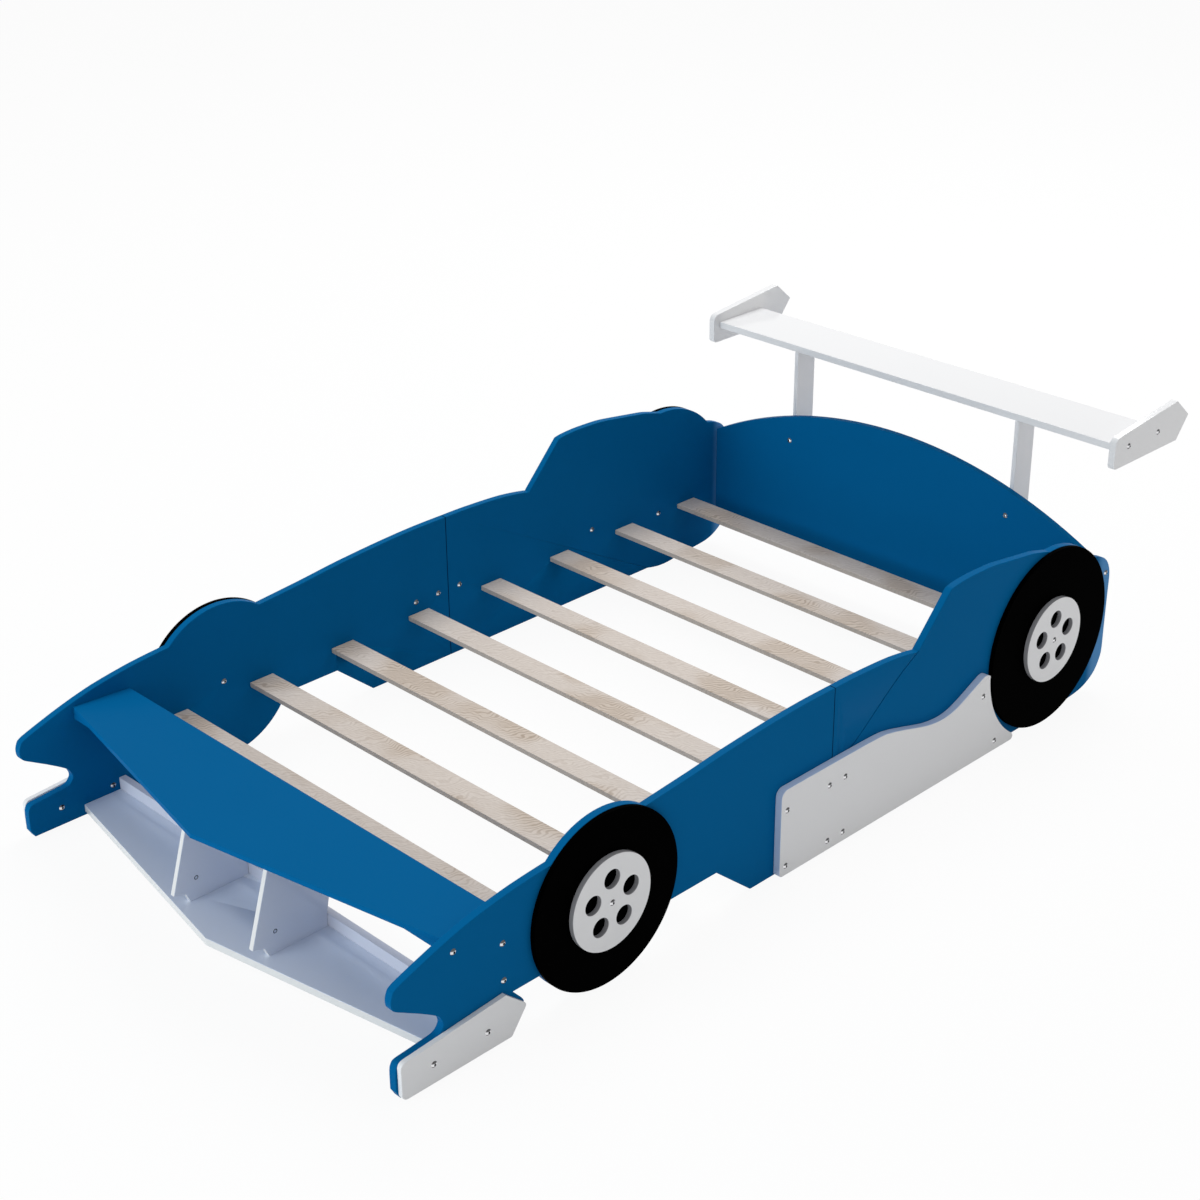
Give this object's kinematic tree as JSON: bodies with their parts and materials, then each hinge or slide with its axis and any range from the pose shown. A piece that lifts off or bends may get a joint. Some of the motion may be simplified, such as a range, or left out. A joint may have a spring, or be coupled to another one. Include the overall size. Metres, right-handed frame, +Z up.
{
  "type": "children's car bed",
  "caption": "Low bed frame for a child, shaped like a racing car from flat boards, with disc wheels, a hood, side skirts, a rear wing and slats.",
  "frame": {"origin": "on the floor, at the middle of the bed's length and width", "axes": "-Y towards the nose, +Y towards the tail, +X towards the left side as seen facing the nose, +Z up"},
  "size_m": [1.3224, 2.514, 0.6949],
  "materials": {
    "blue_lacquer": "semi-gloss blue lacquer on MDF",
    "white_lacquer": "semi-gloss white lacquer on MDF",
    "black_lacquer": "black lacquer on MDF",
    "pine": "planed raw pine",
    "zinc_steel": "bright zinc plating",
    "beech": "raw beech"
  },
  "bodies": {
    "root": {"front_panel_left": "blue_lacquer", "front_panel_right": "blue_lacquer", "rear_panel_left": "blue_lacquer", "rear_panel_right": "blue_lacquer", "headboard": "blue_lacquer", "rear_batten": "blue_lacquer", "hood": "blue_lacquer", "hood_batten": "blue_lacquer", "cross_board": "blue_lacquer", "shelf": "white_lacquer", "shelf_lip": "white_lacquer", "divider_left": "white_lacquer", "divider_right": "white_lacquer", "bumper_plate_left": "white_lacquer", "bumper_plate_right": "white_lacquer", "skirt_left": "white_lacquer", "skirt_right": "white_lacquer", "tyre_front_left": "black_lacquer", "tyre_front_right": "black_lacquer", "tyre_rear_left": "black_lacquer", "tyre_rear_right": "black_lacquer", "hub_front_left": "white_lacquer", "hub_front_right": "white_lacquer", "hub_rear_left": "white_lacquer", "hub_rear_right": "white_lacquer", "wing_board": "white_lacquer", "wing_post_left": "white_lacquer", "wing_post_right": "white_lacquer", "wing_end_left": "white_lacquer", "wing_end_right": "white_lacquer", "slat_1": "pine", "slat_2": "pine", "slat_3": "pine", "slat_4": "pine", "slat_5": "pine", "slat_6": "pine", "slat_7": "pine", "slat_8": "pine", "side_bolts": "zinc_steel", "side_barrel_nuts": "zinc_steel", "bumper_bolts": "zinc_steel", "bumper_sleeve_nuts": "zinc_steel", "skirt_bolts": "zinc_steel", "skirt_inserts": "zinc_steel", "inner_screws": "zinc_steel", "wheel_bolts": "zinc_steel", "wheel_sleeve_nuts": "zinc_steel", "wheel_inserts": "zinc_steel", "wheel_dowels": "beech", "wing_bolts": "zinc_steel", "wing_barrel_nuts": "zinc_steel", "post_bolts": "zinc_steel", "post_barrel_nuts": "zinc_steel", "divider_bolts": "zinc_steel", "divider_barrel_nuts": "zinc_steel", "slat_dowels": "beech", "board_dowels": "beech"}
  },
  "joints": []
}
